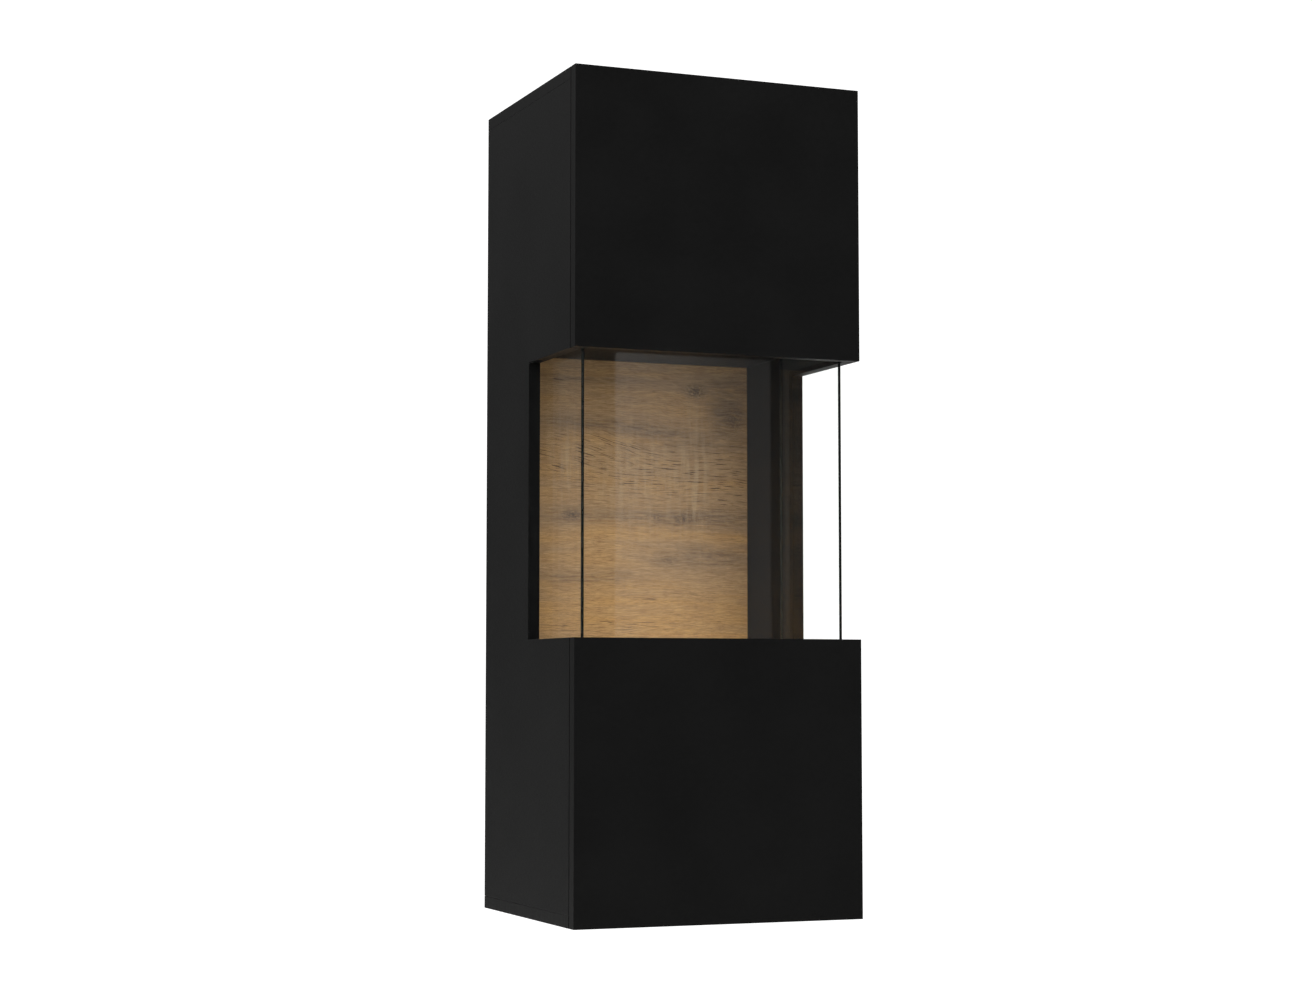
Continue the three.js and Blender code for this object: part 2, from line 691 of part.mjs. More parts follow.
// A cross-head adjusting screw, its head standing proud of the housing's front.
function hangerScrew() {
  const under = HANGER_FRONT - FIT;
  const top = under - 2;
  const outline = [
    [0, top],
    [3.4, top],
    [4.2, top + 0.8],
    [4.2, under],
    [2.9, under],
    [2.9, HANGER_FRONT + 12],
    [0, HANGER_FRONT + 12],
  ];
  const bars = [
    block([-2.4, 2.4], [top - 1, top + 1.4], [-0.5, 0.5]),
    block([-0.5, 0.5], [top - 1, top + 1.4], [-2.4, 2.4]),
  ];
  return cut(turned(outline), ...bars);
}

function hanger(name, side) {
  const middle = side * (CLEAR - HANGER_WIDTH / 2);
  const screws = HANGER_SCREWS.map(([use, z]) => {
    const screw = piece(`${name}_hanger_${use}_screw`, hangerScrew(), zincSteel());
    screw.position.set(middle, 0, z);
    return screw;
  });
  return assembly([
    piece(`${name}_hanger_housing`, hangerHousing(side), greyPlastic()),
    piece(`${name}_hanger_hook`, hangerHook(side), zincSteel()),
    ...screws,
  ]);
}

function hanging() {
  return assembly(
    [
      ...SIDES.map(([name, side]) => hanger(name, side)),
      piece("wall_rail", wallRail(), zincSteel()),
    ],
    [0, 0, RAIL_Z],
  );
}

// ---------------------------------------------------------------- whole cabinet

const cabinet = assembly(
  [carcassPanels(), sideGlazing(), hinges(), door(), latches(), doorBumpers(), hanging()],
  [0, 0, -RAIL_Z],
);

export default cabinet;
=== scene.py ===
# The looks of the wall mounted showcase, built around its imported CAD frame. Everything is in metres,
# in the frame of the part: +Z up, the door faces -Y, the origin is on the wall behind the cabinet.

import json
import math

import bmesh
import bpy
from mathutils import Euler, Matrix, Vector

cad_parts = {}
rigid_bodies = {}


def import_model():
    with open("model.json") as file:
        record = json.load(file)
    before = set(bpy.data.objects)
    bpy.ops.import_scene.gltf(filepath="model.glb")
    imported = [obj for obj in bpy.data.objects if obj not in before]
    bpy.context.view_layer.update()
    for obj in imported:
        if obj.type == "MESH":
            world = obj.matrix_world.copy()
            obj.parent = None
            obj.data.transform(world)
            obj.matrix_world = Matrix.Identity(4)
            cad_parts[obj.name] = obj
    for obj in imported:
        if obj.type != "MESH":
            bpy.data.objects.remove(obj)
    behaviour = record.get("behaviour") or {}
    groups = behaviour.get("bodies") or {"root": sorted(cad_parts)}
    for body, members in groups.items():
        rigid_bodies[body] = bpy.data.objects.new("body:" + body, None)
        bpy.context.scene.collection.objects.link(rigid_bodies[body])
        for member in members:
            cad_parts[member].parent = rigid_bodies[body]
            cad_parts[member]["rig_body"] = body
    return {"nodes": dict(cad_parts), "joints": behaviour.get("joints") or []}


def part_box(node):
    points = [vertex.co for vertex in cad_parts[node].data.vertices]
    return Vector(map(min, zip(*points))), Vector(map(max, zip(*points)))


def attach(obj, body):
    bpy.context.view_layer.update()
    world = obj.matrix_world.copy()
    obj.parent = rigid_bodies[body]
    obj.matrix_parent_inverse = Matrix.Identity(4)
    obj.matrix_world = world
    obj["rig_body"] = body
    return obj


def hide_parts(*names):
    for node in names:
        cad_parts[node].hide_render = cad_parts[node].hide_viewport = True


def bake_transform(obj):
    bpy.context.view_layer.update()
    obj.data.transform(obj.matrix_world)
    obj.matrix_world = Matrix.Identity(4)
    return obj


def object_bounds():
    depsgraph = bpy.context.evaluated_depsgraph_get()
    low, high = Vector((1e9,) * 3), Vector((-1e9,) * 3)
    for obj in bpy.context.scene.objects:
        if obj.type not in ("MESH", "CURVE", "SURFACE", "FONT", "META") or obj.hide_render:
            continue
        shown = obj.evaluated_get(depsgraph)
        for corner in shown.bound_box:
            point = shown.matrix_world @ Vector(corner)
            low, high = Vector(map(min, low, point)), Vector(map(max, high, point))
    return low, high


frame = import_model()
cad_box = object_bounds()

MM = 0.001
X, Y, Z = range(3)
HINGES = ("hinge_bottom", "hinge_lower", "hinge_upper", "hinge_top")
LATCHES = ("latch_lower", "latch_upper")
SIDES = ("left", "right")
BUMPERS = 4
WHITE = 1.2  # brightness of the backdrop, a little over white so that it stays white through glass


# ---------------------------------------------------------------- node materials


class Material:
    """A node material under construction. Methods add a node and return its output socket."""

    def __init__(self, name):
        self.result = bpy.data.materials.new(name)
        self.result.use_nodes = True
        self.tree = self.result.node_tree
        self.tree.nodes.clear()
        self.output = self.tree.nodes.new("ShaderNodeOutputMaterial")

    def add(self, kind, inputs, **settings):
        node = self.tree.nodes.new("ShaderNode" + kind)
        for key, value in settings.items():
            setattr(node, key, value)
        for key, value in inputs.items():
            if isinstance(value, bpy.types.NodeSocket):
                self.tree.links.new(value, node.inputs[key])
            elif value is not None:
                node.inputs[key].default_value = value
        return node

    def place(self):
        return self.add("TexCoord", {}).outputs["Object"]

    def axis(self, index):
        return self.add("SeparateXYZ", {0: self.place()}).outputs[index]

    def scaled(self, factors):
        return self.add("Mapping", {"Vector": self.place(), "Scale": factors}).outputs[0]

    def math(self, operation, a, b=None, c=None):
        return self.add("Math", {0: a, 1: b, 2: c}, operation=operation).outputs[0]

    def noise(self, vector, detail=2.0, roughness=0.5):
        inputs = {"Vector": vector, "Scale": 1.0, "Detail": detail, "Roughness": roughness}
        return self.add("TexNoise", inputs).outputs[0]

    def range(self, value, low, high, to_low=0.0, to_high=1.0):
        inputs = {0: value, 1: low, 2: high, 3: to_low, 4: to_high}
        return self.add("MapRange", inputs, interpolation_type="SMOOTHSTEP").outputs[0]

    def mix(self, factor, a, b):
        node = self.add("Mix", {}, data_type="RGBA", blend_type="MIX")
        for index, value in ((0, factor), (6, a), (7, b)):
            if isinstance(value, bpy.types.NodeSocket):
                self.tree.links.new(value, node.inputs[index])
            else:
                node.inputs[index].default_value = value
        return node.outputs[2]

    def bump(self, height, distance, strength):
        inputs = {"Height": height, "Distance": distance, "Strength": strength}
        return self.add("Bump", inputs).outputs[0]

    def edge_wear(self, radius):
        """How close a point is to a sharp edge: 0 on flats and up to 1 on edges."""
        bevel = self.add("Bevel", {"Radius": radius}, samples=4).outputs[0]
        plain = self.add("NewGeometry", {}).outputs["Normal"]
        dot = self.add("VectorMath", {0: bevel, 1: plain}, operation="DOT_PRODUCT").outputs["Value"]
        return self.range(self.math("SUBTRACT", 1.0, dot), 0.02, 0.3)

    def surface(self, **inputs):
        named = {key.replace("_", " "): value for key, value in inputs.items()}
        shader = self.add("BsdfPrincipled", named)
        self.tree.links.new(shader.outputs[0], self.output.inputs["Surface"])
        return self.result


def rgb(red, green, blue):
    """A screen colour, 0 to 255, as the linear colour that a shader takes."""
    linear = [((c / 255 + 0.055) / 1.055) ** 2.4 if c > 10 else c / 255 / 12.92 for c in (red, green, blue)]
    return (*linear, 1.0)


def grey(level):
    return rgb(level, level, level)


def melamine(name, dark, light):
    """Satin foil on board: a faint woven print in tone, gloss and height."""
    m = Material(name)
    warp = m.noise(m.scaled((1400, 1400, 160)), detail=1.5)
    weft = m.noise(m.scaled((160, 160, 1400)), detail=1.5)
    weave = m.math("MULTIPLY", m.math("ADD", warp, weft), 0.5)
    cloud = m.noise(m.scaled((9, 9, 9)), detail=3.0)
    blend = m.math("MULTIPLY_ADD", weave, 0.7, m.math("MULTIPLY", cloud, 0.3))
    tone = m.range(blend, 0.35, 0.65)
    colour = m.mix(tone, grey(dark), grey(light))
    gloss = m.range(weave, 0.3, 0.7, 0.48, 0.6)
    return m.surface(
        Base_Color=colour,
        Roughness=gloss,
        Specular_IOR_Level=0.12,
        Normal=m.bump(weave, 0.05 * MM, 0.35),
    )


def outer_melamine():
    return melamine("outer_melamine", 3, 8)


def painted_lit_inner_melamine():
    """The same foil as outside, painted a shade paler on the inside faces: painted light that stands in for
    the brighter light falling inside the cabinet.
    """
    return melamine("painted_lit_inner_melamine", 24, 27)


def black_edge_band():
    """The plastic band on a board's edges: a little smoother than the foil, with fine drawn lines."""
    m = Material("black_edge_band")
    streaks = m.noise(m.scaled((900, 900, 30)), detail=2.0)
    colour = m.mix(streaks, grey(4), grey(9))
    return m.surface(
        Base_Color=colour,
        Roughness=m.range(streaks, 0.3, 0.7, 0.42, 0.52),
        Specular_IOR_Level=0.12,
        Normal=m.bump(streaks, 0.03 * MM, 0.3),
    )


def black_hardboard():
    """Painted hardboard: pressed fibres under a thin dull coat."""
    m = Material("black_hardboard")
    fibres = m.noise(m.scaled((420, 420, 420)), detail=5.0, roughness=0.7)
    blotch = m.noise(m.scaled((14, 14, 14)), detail=3.0)
    tone = m.math("MULTIPLY", m.math("ADD", fibres, blotch), 0.5)
    colour = m.mix(m.range(tone, 0.35, 0.65), rgb(25, 24, 23), rgb(40, 38, 36))
    return m.surface(
        Base_Color=colour,
        Roughness=m.range(fibres, 0.3, 0.7, 0.7, 0.9),
        Normal=m.bump(fibres, 0.12 * MM, 0.6),
    )


def oak_decor():
    """Printed oak with the grain lying across: fibres, pores, grey and gold bands, knots and cracks.
    Places on it are in millimetres from the left edge and down from the top edge."""
    low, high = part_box("niche_back_panel")
    m = Material("oak_decor")
    across = m.math("MULTIPLY", m.math("SUBTRACT", m.axis(X), low.x), 1000)
    down = m.math("MULTIPLY", m.math("SUBTRACT", high.z, m.axis(Z)), 1000)

    # the grain's slow wander
    drift = m.math("SUBTRACT", m.noise(m.scaled((4, 0, 11)), detail=2.0, roughness=0.45), 0.5)
    waver = m.math("SUBTRACT", m.noise(m.scaled((16, 0, 60)), detail=2.0), 0.5)
    flow = m.math("MULTIPLY_ADD", drift, 24, m.math("MULTIPLY_ADD", waver, 3, down))

    def blob(x, z, wide, tall):
        """1 in the middle of a soft ellipse, 0 well outside it."""
        dx = m.math("DIVIDE", m.math("SUBTRACT", across, x), wide)
        dz = m.math("DIVIDE", m.math("SUBTRACT", flow, z), tall)
        spread = m.math("MULTIPLY_ADD", dx, dx, m.math("MULTIPLY", dz, dz))
        return m.math("EXPONENT", m.math("MULTIPLY", spread, -1.0))

    def field(blobs):
        """The sum of blobs, each given as x, z, wide, tall and how strong it is."""
        result = 0.0
        for *shape, strength in blobs:
            result = m.math("MULTIPLY_ADD", blob(*shape), strength, result)
        return result

    # knots push the grain apart around them
    knots = (
        (287, 36, 15, 10, 1.0),
        (100, 219, 13, 7, 1.0),
        (228, 221, 8, 4, 0.8),
        (266, 222, 14, 7, 1.0),
        (243, 279, 18, 7, 0.5),
        (345, 78, 14, 20, 0.6),
    )
    grain_line = flow
    for *shape, strength in knots:
        push = m.math("MULTIPLY", m.math("SUBTRACT", flow, shape[1]), -0.7 * strength)
        grain_line = m.math("MULTIPLY_ADD", push, blob(*shape), grain_line)

    def grain(per_mm_across, per_mm_down, detail=2.0, roughness=0.6, sag=0.0):
        """Noise drawn out along the grain. Sag tilts it, as a drop for each step to the right."""
        inputs = {
            0: m.math("MULTIPLY", across, per_mm_across),
            1: m.math("MULTIPLY", m.math("MULTIPLY_ADD", across, -sag, grain_line), per_mm_down),
        }
        return m.noise(m.add("CombineXYZ", inputs).outputs[0], detail, roughness)

    plank = grain(0.005, 0.05, 2.0, 0.5)
    lines = grain(0.026, 0.3, 4.0, 0.65)
    fibres = grain(0.06, 1.0, 4.0, 0.65)
    pores = grain(0.11, 1.7, 2.0)

    tan = m.mix(m.range(lines, 0.25, 0.75), rgb(176, 140, 98), rgb(206, 167, 118))
    gold = m.mix(m.range(lines, 0.25, 0.75), rgb(194, 146, 85), rgb(222, 173, 106))
    gilt = field(((200, 246, 230, 8, 0.8), (250, 360, 260, 44, 0.75), (60, 130, 60, 60, 0.3)))
    colour = m.mix(m.math("ADD", m.range(plank, 0.38, 0.68, 0.0, 0.6), gilt), tan, gold)
    colour = m.mix(m.range(fibres, 0.42, 0.68, 0.0, 0.6), colour, rgb(146, 103, 58))
    colour = m.mix(m.range(pores, 0.54, 0.7, 0.0, 0.6), colour, rgb(104, 69, 36))

    # grey-brown bands and clouds, broken up along the grain
    shades = (
        (130, 90, 110, 12, 0.75),
        (230, 97, 60, 10, 0.5),
        (110, 28, 120, 6, 0.5),
        (90, 219, 110, 15, 0.45),
        (290, 221, 120, 16, 0.8),
        (310, 272, 90, 18, 0.7),
        (110, 303, 100, 11, 0.55),
        (338, 66, 34, 28, 1.0),
        (300, 112, 70, 12, 0.5),
        (345, 26, 60, 12, 0.5),
    )
    mottle = grain(0.045, 0.2, 5.0, 0.75)
    shade = m.math("MULTIPLY", field(shades), m.range(mottle, 0.3, 0.62, 0.25, 1.15))
    shade_tone = m.mix(m.range(lines, 0.35, 0.65), rgb(112, 87, 64), rgb(146, 120, 94))
    colour = m.mix(m.math("MINIMUM", shade, 0.8), colour, shade_tone)

    # knots: dark hearts, broken by paler flecks
    heart = field(knots)
    flecks = m.noise(m.scaled((240, 0, 380)), detail=3.0, roughness=0.7)
    heart_tone = m.math("MULTIPLY", heart, m.range(flecks, 0.36, 0.56, 0.0, 0.85))
    colour = m.mix(heart_tone, colour, rgb(84, 66, 54))

    # short cracks, slanting down to the right on the left half and nearly level elsewhere
    slanting = field(((135, 118, 60, 18, 1.0), (85, 140, 60, 26, 0.9), (190, 132, 40, 14, 0.8)))
    nearly_level = field(
        (
            (255, 150, 90, 40, 0.9),
            (335, 170, 60, 50, 0.9),
            (150, 170, 100, 30, 0.6),
            (150, 372, 110, 16, 0.9),
            (250, 330, 60, 10, 0.8),
            (70, 25, 40, 12, 0.9),
        )
    )
    cracks = 0.0
    for place, sag in ((slanting, 0.26), (nearly_level, 0.05)):
        streak = m.range(grain(0.03, 0.55, 1.0, 0.5, sag), 0.6, 0.66)
        cracks = m.math("MAXIMUM", cracks, m.math("MULTIPLY", streak, m.math("MINIMUM", place, 1.0)))
    colour = m.mix(m.math("MULTIPLY", cracks, 0.9), colour, rgb(74, 46, 24))

    # soft pale upright marks of the saw
    saw = m.noise(m.scaled((130, 0, 14)), detail=4.0, roughness=0.6)
    sawn = field(((285, 160, 26, 90, 0.45), (200, 160, 70, 80, 0.3), (90, 140, 30, 60, 0.35)))
    colour = m.mix(m.math("MULTIPLY", m.range(saw, 0.4, 0.7), sawn), colour, rgb(214, 184, 144))

    relief = m.math("SUBTRACT", fibres, m.math("MULTIPLY", cracks, 0.8))
    return m.surface(
        Base_Color=colour,
        Roughness=m.range(fibres, 0.3, 0.7, 0.42, 0.6),
        Specular_IOR_Level=0.4,
        Normal=m.bump(relief, 0.1 * MM, 0.5),
    )


def clear_glass():
    """The faces of a pane: seen through, with a mirror reflection that grows at low angles."""
    m = Material("clear_glass")
    smear = m.noise(m.scaled((7, 7, 3)), detail=3.0)
    tint = m.mix(m.range(smear, 0.3, 0.7), (0.985, 0.99, 0.987, 1), (0.992, 0.996, 0.993, 1))
    see_through = m.add("BsdfTransparent", {"Color": tint})
    mirror = m.add("BsdfAnisotropic", {"Color": (1, 1, 1, 1), "Roughness": 0.0}, distribution="GGX")
    facing = m.add("LayerWeight", {"Blend": 0.5}).outputs["Facing"]
    head_on = 0.022  # share of light mirrored where it meets the glass head on
    glancing = 0.16  # share mirrored on top of that at the lowest angles
    share = m.math("MULTIPLY_ADD", m.math("POWER", facing, 5.0), glancing, head_on)
    mix = m.add("MixShader", {0: share, 1: see_through.outputs[0], 2: mirror.outputs[0]})
    m.tree.links.new(mix.outputs[0], m.output.inputs["Surface"])
    return m.result


def glass_edge():
    """The ground and polished edge of a pane, dark because it is seen along the glass."""
    m = Material("glass_edge")
    grind = m.noise(m.scaled((300, 300, 60)), detail=2.0)
    colour = m.mix(grind, rgb(3, 5, 4), rgb(9, 13, 11))
    return m.surface(
        Base_Color=colour,
        Roughness=m.range(grind, 0.3, 0.7, 0.2, 0.35),
        Specular_IOR_Level=0.15,
        Normal=m.bump(grind, 0.05 * MM, 0.3),
    )


def ground_edge():
    """The matt ground edges of a pane that its boards cover."""
    m = Material("ground_edge")
    grind = m.noise(m.scaled((900, 900, 900)), detail=3.0)
    colour = m.mix(m.range(grind, 0.3, 0.7), rgb(34, 37, 35), rgb(48, 52, 49))
    return m.surface(
        Base_Color=colour,
        Roughness=m.range(grind, 0.3, 0.7, 0.6, 0.8),
        Specular_IOR_Level=0.15,
        Normal=m.bump(grind, 0.05 * MM, 0.4),
    )


def steel(name, dark, light, rough_low, rough_high):
    """Plated steel: drawn lines, cloudy plating and brighter rubbed edges."""
    m = Material(name)
    brushed = m.noise(m.scaled((200, 200, 5000)), detail=3.0)
    cloud = m.noise(m.scaled((70, 70, 70)), detail=3.0)
    tone = m.math("MULTIPLY", m.math("ADD", brushed, cloud), 0.5)
    colour = m.mix(m.range(tone, 0.35, 0.65), dark, light)
    wear = m.edge_wear(0.6 * MM)
    colour = m.mix(m.math("MULTIPLY", wear, 0.5), colour, rgb(228, 228, 225))
    return m.surface(
        Base_Color=colour,
        Metallic=1.0,
        Roughness=m.range(tone, 0.35, 0.65, rough_low, rough_high),
        Normal=m.bump(brushed, 0.01 * MM, 0.3),
    )


def nickel_steel():
    return steel("nickel_steel", rgb(168, 166, 160), rgb(196, 194, 188), 0.26, 0.38)


def zinc_steel():
    return steel("zinc_steel", rgb(142, 146, 150), rgb(182, 186, 190), 0.34, 0.52)


def grey_plastic():
    """Moulded plastic with a spark-eroded grain and slightly paler edges."""
    m = Material("grey_plastic")
    grain = m.noise(m.scaled((1800, 1800, 1800)), detail=2.0)
    flow = m.noise(m.scaled((60, 60, 60)), detail=3.0)
    colour = m.mix(m.range(flow, 0.3, 0.7), rgb(56, 57, 58), rgb(70, 71, 73))
    colour = m.mix(m.math("MULTIPLY", m.edge_wear(0.8 * MM), 0.35), colour, rgb(104, 105, 106))
    return m.surface(
        Base_Color=colour,
        Roughness=m.range(grain, 0.3, 0.7, 0.45, 0.62),
        Normal=m.bump(grain, 0.05 * MM, 0.4),
    )


def soft_rubber():
    """Translucent soft bumper plastic."""
    m = Material("soft_rubber")
    haze = m.noise(m.scaled((500, 500, 500)), detail=3.0)
    colour = m.mix(haze, rgb(186, 188, 184), rgb(212, 214, 210))
    return m.surface(
        Base_Color=colour,
        Roughness=m.range(haze, 0.3, 0.7, 0.35, 0.55),
        Subsurface_Weight=0.4,
        Subsurface_Radius=(2 * MM, 2 * MM, 2 * MM),
        Normal=m.bump(haze, 0.05 * MM, 0.3),
    )


def foam_tape():
    """Black foam tape with open cells."""
    m = Material("foam_tape")
    inputs = {"Vector": m.scaled((1500, 1500, 1500)), "Scale": 1.0}
    cells = m.add("TexVoronoi", inputs).outputs["Distance"]
    colour = m.mix(m.range(cells, 0.0, 0.7), grey(30), grey(48))
    return m.surface(
        Base_Color=colour,
        Roughness=m.range(cells, 0.0, 0.7, 0.85, 0.98),
        Normal=m.bump(cells, 0.08 * MM, 0.6),
    )


# The materials of each slot. The faces of a board and of a pane pick theirs by the names below.
FINISH = {
    # The third black board finish is the inside foil, painted paler to stand in for the light inside the
    # cabinet.
    "black_board": [outer_melamine(), black_edge_band(), painted_lit_inner_melamine()],
    "oak_decor": [oak_decor(), black_edge_band()],
    "hardboard": [black_hardboard()],
    "clear_glass": [clear_glass(), glass_edge(), ground_edge()],
    "nickel_steel": [nickel_steel()],
    "zinc_steel": [zinc_steel()],
    "grey_plastic": [grey_plastic()],
    "clear_rubber": [soft_rubber()],
    "bonding_tape": [foam_tape()],
}
BROAD, EDGE, PAINTED_LIT_INSIDE = range(3)  # of a board
SURFACE, POLISHED, GROUND = range(3)  # of a pane


# ---------------------------------------------------------------- mesh helpers


def body_of(node):
    return frame["nodes"][node]["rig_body"]


def add_piece(name, bm, slot, body=None, replaced=(), smooth=35):
    """Turns a bmesh into a piece that stands for the given CAD nodes and rides on a body. A piece
    that names no body is left unattached. Edges of more than smooth degrees stay sharp."""
    bmesh.ops.recalc_face_normals(bm, faces=bm.faces)
    if bm.calc_volume(signed=True) < 0:
        bmesh.ops.reverse_faces(bm, faces=bm.faces)
    mesh = bpy.data.meshes.new(name)
    bm.to_mesh(mesh)
    bm.free()
    mesh.shade_smooth()
    mesh.set_sharp_from_angle(angle=math.radians(smooth))
    for finish in FINISH[slot]:
        mesh.materials.append(finish)
    piece = bpy.data.objects.new(name, mesh)
    bpy.context.scene.collection.objects.link(piece)
    even_normals = piece.modifiers.new("even_normals", "WEIGHTED_NORMAL")
    even_normals.keep_sharp = True
    if body:
        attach(piece, body)
    if replaced:
        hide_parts(*replaced)
    return piece


def merge_flat(bm, nearest):
    """Merges points closer than nearest, and neighbouring faces that lie in one plane."""
    bmesh.ops.remove_doubles(bm, verts=bm.verts, dist=nearest)
    bmesh.ops.dissolve_limit(bm, angle_limit=math.radians(0.5), verts=bm.verts, edges=bm.edges)


def plain_copy(node):
    """A CAD node's mesh with its coplanar triangles merged into whole faces."""
    bm = bmesh.new()
    bm.from_mesh(frame["nodes"][node].data)
    merge_flat(bm, 0.001 * MM)
    return bm


def round_edges(bm, radius, segments=2, sharper_than=40):
    """Bevels every edge whose faces meet at more than the given angle, in degrees."""
    sharp = math.radians(sharper_than)
    edges = [e for e in bm.edges if e.is_manifold and e.calc_face_angle() > sharp]
    bmesh.ops.bevel(
        bm,
        geom=edges,
        offset=radius,
        segments=segments,
        profile=0.6,
        affect="EDGES",
        clamp_overlap=True,
    )
    bmesh.ops.dissolve_degenerate(bm, dist=0.002 * MM, edges=bm.edges)


def is_inside(face, thin_axis):
    """Whether a board's broad face isn't on the cabinet's outside. The door's faces never count."""
    place = face.calc_center_median()[thin_axis]
    outsides = (corner[thin_axis] for corner in cad_box)
    return thin_axis != Y and min(abs(place - outside) for outside in outsides) > MM


def banded_board(node, slot, thin_axis):
    """A board whose edges carry a plastic band that shows as a rim on its broad faces."""
    band = 0.8 * MM
    bm = plain_copy(node)
    bm.normal_update()
    broad = [f for f in bm.faces if abs(f.normal[thin_axis]) > 0.9]
    bmesh.ops.inset_region(bm, faces=broad, thickness=band, use_even_offset=True)
    for face in bm.faces:
        face.material_index = EDGE
    for face in broad:
        # Broad faces inside the cabinet take the foil that is painted paler as painted light.
        face.material_index = PAINTED_LIT_INSIDE if slot == "black_board" and is_inside(face, thin_axis) else BROAD
    round_edges(bm, 0.35 * MM)
    add_piece(f"{node}_banded", bm, slot, body_of(node), [node])


# ---------------------------------------------------------------- boards and glass


def boards():
    for side in SIDES:
        banded_board(f"{side}_side_panel", "black_board", X)
    for node in ("top_panel", "bottom_panel", "upper_divider", "lower_divider"):
        banded_board(node, "black_board", Z)
    for node in ("door_upper_panel", "door_lower_panel"):
        banded_board(node, "black_board", Y)
    banded_board("niche_back_panel", "oak_decor", Y)


def pane(node, thin_axis):
    """A float glass pane with small chamfers. Its upright edges at the front corners are polished."""
    bm = plain_copy(node)
    round_edges(bm, 0.4 * MM, segments=1)
    bm.normal_update()
    for face in bm.faces:
        sideways = abs(face.normal.x) > 0.5 and thin_axis == Y
        forwards = face.normal.y < -0.5 and thin_axis == X
        if abs(face.normal[thin_axis]) > 0.9:
            face.material_index = SURFACE
        elif sideways or forwards:
            face.material_index = POLISHED
        else:
            face.material_index = GROUND
    add_piece(f"{node}_pane", bm, "clear_glass", body_of(node), [node], smooth=20)


def panes():
    pane("door_glass", Y)
    for side in SIDES:
        pane(f"{side}_side_glass", X)


# ---------------------------------------------------------------- solids for the hardware


def solid_box(low, high):
    """A closed box between two corners."""
    bm = bmesh.new()
    bmesh.ops.create_cube(bm, size=1.0)
    size = Vector(high) - Vector(low)
    middle = (Vector(high) + Vector(low)) / 2
    for vertex in bm.verts:
        vertex.co = middle + Vector(a * b for a, b in zip(vertex.co, size))
    return bm


def turned(profile, sides=48):
    """A solid turned about Z. The profile is [radius, height] pairs from the axis to the axis."""
    bm = bmesh.new()
    angles = [2 * math.pi * i / sides for i in range(sides)]
    rings = []
    for radius, height in profile:
        around = angles if radius > 0 else angles[:1]
        rings.append([bm.verts.new((radius * math.cos(a), radius * math.sin(a), height)) for a in around])
    for ring, following in zip(rings, rings[1:]):
        for i in range(sides):
            corners = [ring[i % len(ring)], ring[(i + 1) % len(ring)]]
            corners += [following[(i + 1) % len(following)], following[i % len(following)]]
            bm.faces.new(list(dict.fromkeys(corners)))
    return bm


def rod(radius, start, end, sides=32):
    """A cylinder between two points."""
    axis = Vector(end) - Vector(start)
    bm = turned([(0, 0), (radius, 0), (radius, axis.length), (0, axis.length)], sides)
    return placed(bm, start, axis)


def placed(bm, place, towards):
    """Turns a solid's Z to a direction and moves its origin to a place."""
    turn = Vector(towards).to_track_quat("Z", "X").to_matrix().to_4x4()
    bm.transform(Matrix.Translation(Vector(place)) @ turn)
    return bm


def lifted(bm, height):
    """Moves a solid up. What repeats at several heights is made at 0, so that all copies are alike."""
    bm.transform(Matrix.Translation((0, 0, height)))
    return bm


def combined(base, tools, operation):
    """The exact boolean of a solid and others. The inputs are used up."""
    items = []
    for bm in (base, *tools):
        bmesh.ops.recalc_face_normals(bm, faces=bm.faces)
        mesh = bpy.data.meshes.new("working")
        bm.to_mesh(mesh)
        bm.free()
        item = bpy.data.objects.new("working", mesh)
        bpy.context.scene.collection.objects.link(item)
        items.append(item)
    for tool in items[1:]:
        step = items[0].modifiers.new("step", "BOOLEAN")
        step.operation = operation
        step.solver = "EXACT"
        step.object = tool
    graph = bpy.context.evaluated_depsgraph_get()
    result = bmesh.new()
    result.from_mesh(items[0].evaluated_get(graph).to_mesh())
    for item in items:
        bpy.data.meshes.remove(item.data)
    merge_flat(result, 0.01 * MM)
    return result


def cut(base, *tools):
    return combined(base, tools, "DIFFERENCE")


def joined(base, *tools):
    return combined(base, tools, "UNION")


def cross_recess(arm, half_width, bottom, top):
    """The two bars that cut the cross for a screwdriver, on the Z axis."""
    return [
        solid_box((-arm, -half_width, bottom), (arm, half_width, top)),
        solid_box((-half_width, -arm, bottom), (half_width, arm, top)),
    ]


def screw(name, place, towards, body, head, rise, shank=1.5 * MM, replaced=()):
    """A cross-head screw whose head stands on place and whose shank runs back behind it.
    Head is the head's radius and rise its height."""
    profile = [
        (0, -shank),
        (head * 0.6, -shank),
        (head * 0.6, 0),
        (head, 0),
        (head, rise * 0.45),
        (head * 0.86, rise * 0.86),
        (head * 0.6, rise),
        (0, rise),
    ]
    recess = cross_recess(head * 0.58, head * 0.13, rise * 0.25, 2 * rise)
    bm = placed(cut(turned(profile, sides=36), *recess), place, towards)
    add_piece(name, bm, "zinc_steel", body, replaced)


# ---------------------------------------------------------------- hinges

PIN = 1.2 * MM  # radius of the pivot pins
WING_SCREW = 24 * MM  # from the hinge's middle to each screw in the cup's wings
PLATE_SCREW = 16 * MM  # from the hinge's middle to each screw in the mounting plate
SCREW_ROW = 37 * MM  # from the side panel's front edge to the mounting plate's screws


def joint_place(name):
    return Vector(next(j for j in frame["joints"] if j["name"] == name)["pos_m"])


def hinge(name):
    """One concealed hinge: a deep-drawn cup, a bowed link, a folded arm and a cross-shaped plate."""
    hinge_cup(name)
    bm = plain_copy(f"{name}_link")
    round_edges(bm, 0.25 * MM)
    add_piece(f"{name}_link_strip", bm, "nickel_steel", body_of(f"{name}_link"), [f"{name}_link"])
    hinge_arm(name)
    hinge_plate(name)


